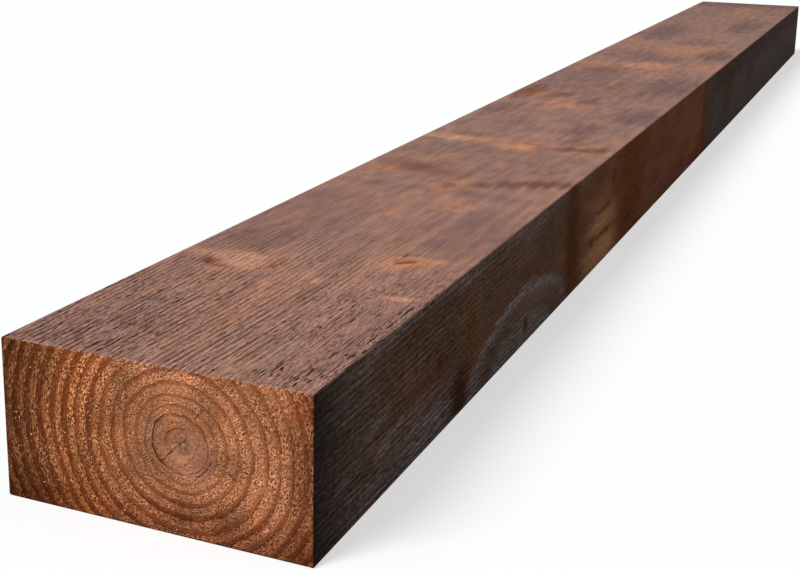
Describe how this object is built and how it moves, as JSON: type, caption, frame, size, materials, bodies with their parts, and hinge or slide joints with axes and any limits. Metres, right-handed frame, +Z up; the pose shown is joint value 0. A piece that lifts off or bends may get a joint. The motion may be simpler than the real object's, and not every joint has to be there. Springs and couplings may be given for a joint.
{
  "type": "railway sleeper",
  "caption": "Sawn softwood railway sleeper: a long rectangular baulk with eased arrises and square crosscut ends, for edging, steps, raised beds and low walls.",
  "frame": {"origin": "middle of the sawn underside, where the sleeper lies on the ground", "axes": "+X along the length, +Y across the width, +Z up through the thickness. The end that the picture shows near the camera is at -X, and the side face that it shows is at -Y"},
  "size_m": [2.4, 0.2, 0.1],
  "materials": {
    "sawn_timber": "rough sawn softwood, brown preservative treated, dry and matt"
  },
  "bodies": {
    "root": {"sleeper": "sawn_timber"}
  },
  "joints": []
}
